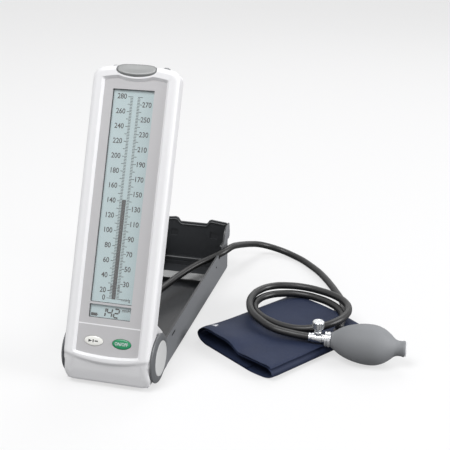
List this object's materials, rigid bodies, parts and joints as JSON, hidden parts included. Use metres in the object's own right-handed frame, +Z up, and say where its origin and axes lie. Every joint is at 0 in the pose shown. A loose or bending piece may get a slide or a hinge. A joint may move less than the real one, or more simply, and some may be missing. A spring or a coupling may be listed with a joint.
{
  "type": "sphygmomanometer",
  "caption": "Desk sphygmomanometer with an upright scale screen on a folding case, arm cuff, inflation bulb with release valve and rubber hoses.",
  "frame": {"origin": "on the table, on the underside of the front foot, under the middle of the hinge axis", "axes": "+X to the right as seen by the person reading the screen, +Y to the back along the case, +Z up"},
  "size_m": [0.3428, 0.3963, 0.3104],
  "materials": {
    "white_shell": "smooth white ABS moulding",
    "panel": "satin grey printed panel",
    "lens": "clear acrylic window",
    "screen": "pale grey-green liquid crystal cell",
    "inner_plastic": "plain white moulding",
    "circuit": "green coated board",
    "sensor": "ceramic sensor package",
    "tubing": "soft milky tubing",
    "key_rubber": "matt silicone",
    "battery": "sleeved dry cell",
    "steel": "zinc plated steel",
    "nipple": "plated brass",
    "white_key": "glossy white",
    "green_key": "glossy green",
    "grey_button": "satin grey",
    "latch": "plain grey moulding",
    "case": "dark grey fine-grained moulding",
    "foot_rubber": "matt black rubber",
    "strap": "grey woven elastic band",
    "ring": "satin mid grey",
    "cap": "satin light grey",
    "bronze": "plain bronze bush",
    "union": "acetal collar",
    "manifold": "black moulding",
    "cuff_cloth": "navy coated nylon cloth",
    "flap_cloth": "navy coated nylon cloth",
    "hook_tape": "black hook tape",
    "bladder": "latex sheet",
    "port_rubber": "matt black rubber",
    "hose_rubber": "satin charcoal rubber",
    "chrome": "polished chrome plate",
    "bulb_rubber": "matt grey rubber",
    "valve_plug": "pale grey plastic"
  },
  "bodies": {
    "base": {"case_tray": "case", "front_foot": "foot_rubber", "rear_feet": "foot_rubber", "case_strap": "strap", "strap_rivets": "steel", "left_hinge_ring": "ring", "right_hinge_ring": "ring", "left_hinge_cap": "cap", "right_hinge_cap": "cap", "left_hinge_pin": "steel", "right_hinge_pin": "steel", "hinge_washers": "steel", "hinge_nuts": "steel", "air_union": "union", "air_manifold": "manifold", "manifold_screws": "steel", "hose_nipple": "nipple", "union_tube": "tubing", "cuff_cover": "cuff_cloth", "cuff_flap": "flap_cloth", "cuff_bladder": "bladder", "cuff_hook_tape": "hook_tape", "cuff_side_port": "port_rubber", "cuff_top_port": "port_rubber", "hose_to_case": "hose_rubber", "hose_to_bulb": "hose_rubber", "valve_body": "chrome", "valve_collar": "chrome", "bulb": "bulb_rubber", "bulb_end_valve": "valve_plug"},
    "display": {"front_cover": "white_shell", "rear_cover": "white_shell", "left_hinge_bushing": "bronze", "right_hinge_bushing": "bronze", "cover_screws": "steel", "display_panel": "panel", "screen_lens": "lens", "screen_glass": "screen", "screen_holder": "inner_plastic", "circuit_board": "circuit", "pressure_sensor": "sensor", "sensor_tube": "tubing", "key_board": "circuit", "key_pad": "key_rubber", "battery_tray": "inner_plastic", "batteries": "battery", "battery_contacts": "steel", "latch_springs": "steel"},
    "battery_door": {"battery_cover": "white_shell"},
    "white_key": {"mark_key": "white_key"},
    "green_key": {"power_key": "green_key"},
    "release": {"release_button": "grey_button"},
    "latch": {"latch_slider": "latch"},
    "stem": {"release_stem": "steel"},
    "knob": {"release_knob": "chrome"}
  },
  "joints": [
    {"name": "display_fold", "type": "hinge", "parent": "base", "child": "display", "pos_m": [0, 0, 0.027], "axis": [-1, 0, 0], "range_deg": [-7, 65.85]},
    {"name": "release_press", "type": "slide", "parent": "display", "child": "release", "axis": [0, 0.9219, -0.3875], "range_m": [0, 0.0025], "stiffness_N_per_m": 1200, "springref_m": -0.0002},
    {"name": "latch_slide", "type": "slide", "parent": "display", "child": "latch", "axis": [0, -0.3875, -0.9219], "range_m": [0, 0.0026], "deforming": ["latch_springs"]},
    {"name": "white_key_press", "type": "slide", "parent": "display", "child": "white_key", "axis": [0, 0.9219, -0.3875], "range_m": [0, 0.001], "stiffness_N_per_m": 1000, "springref_m": -0.0001},
    {"name": "green_key_press", "type": "slide", "parent": "display", "child": "green_key", "axis": [0, 0.9219, -0.3875], "range_m": [0, 0.001], "stiffness_N_per_m": 1000, "springref_m": -0.0001},
    {"name": "battery_door_slide", "type": "slide", "parent": "display", "child": "battery_door", "axis": [0, 0.3875, 0.9219], "range_m": [0, 0.008]},
    {"name": "release_travel", "type": "slide", "parent": "base", "child": "stem", "axis": [0, 0, 1], "range_m": [0, 0.00112]},
    {"name": "release_turn", "type": "hinge", "parent": "stem", "child": "knob", "pos_m": [0.1984, 0.095, 0.038], "axis": [0, 0, 1], "range_deg": [0, 540]}
  ],
  "couplings": [
    {"joint": "latch_slide", "follows": "release_press", "ratio": 1},
    {"joint": "release_turn", "follows": "release_travel", "rad_per_m": 8377.6}
  ]
}
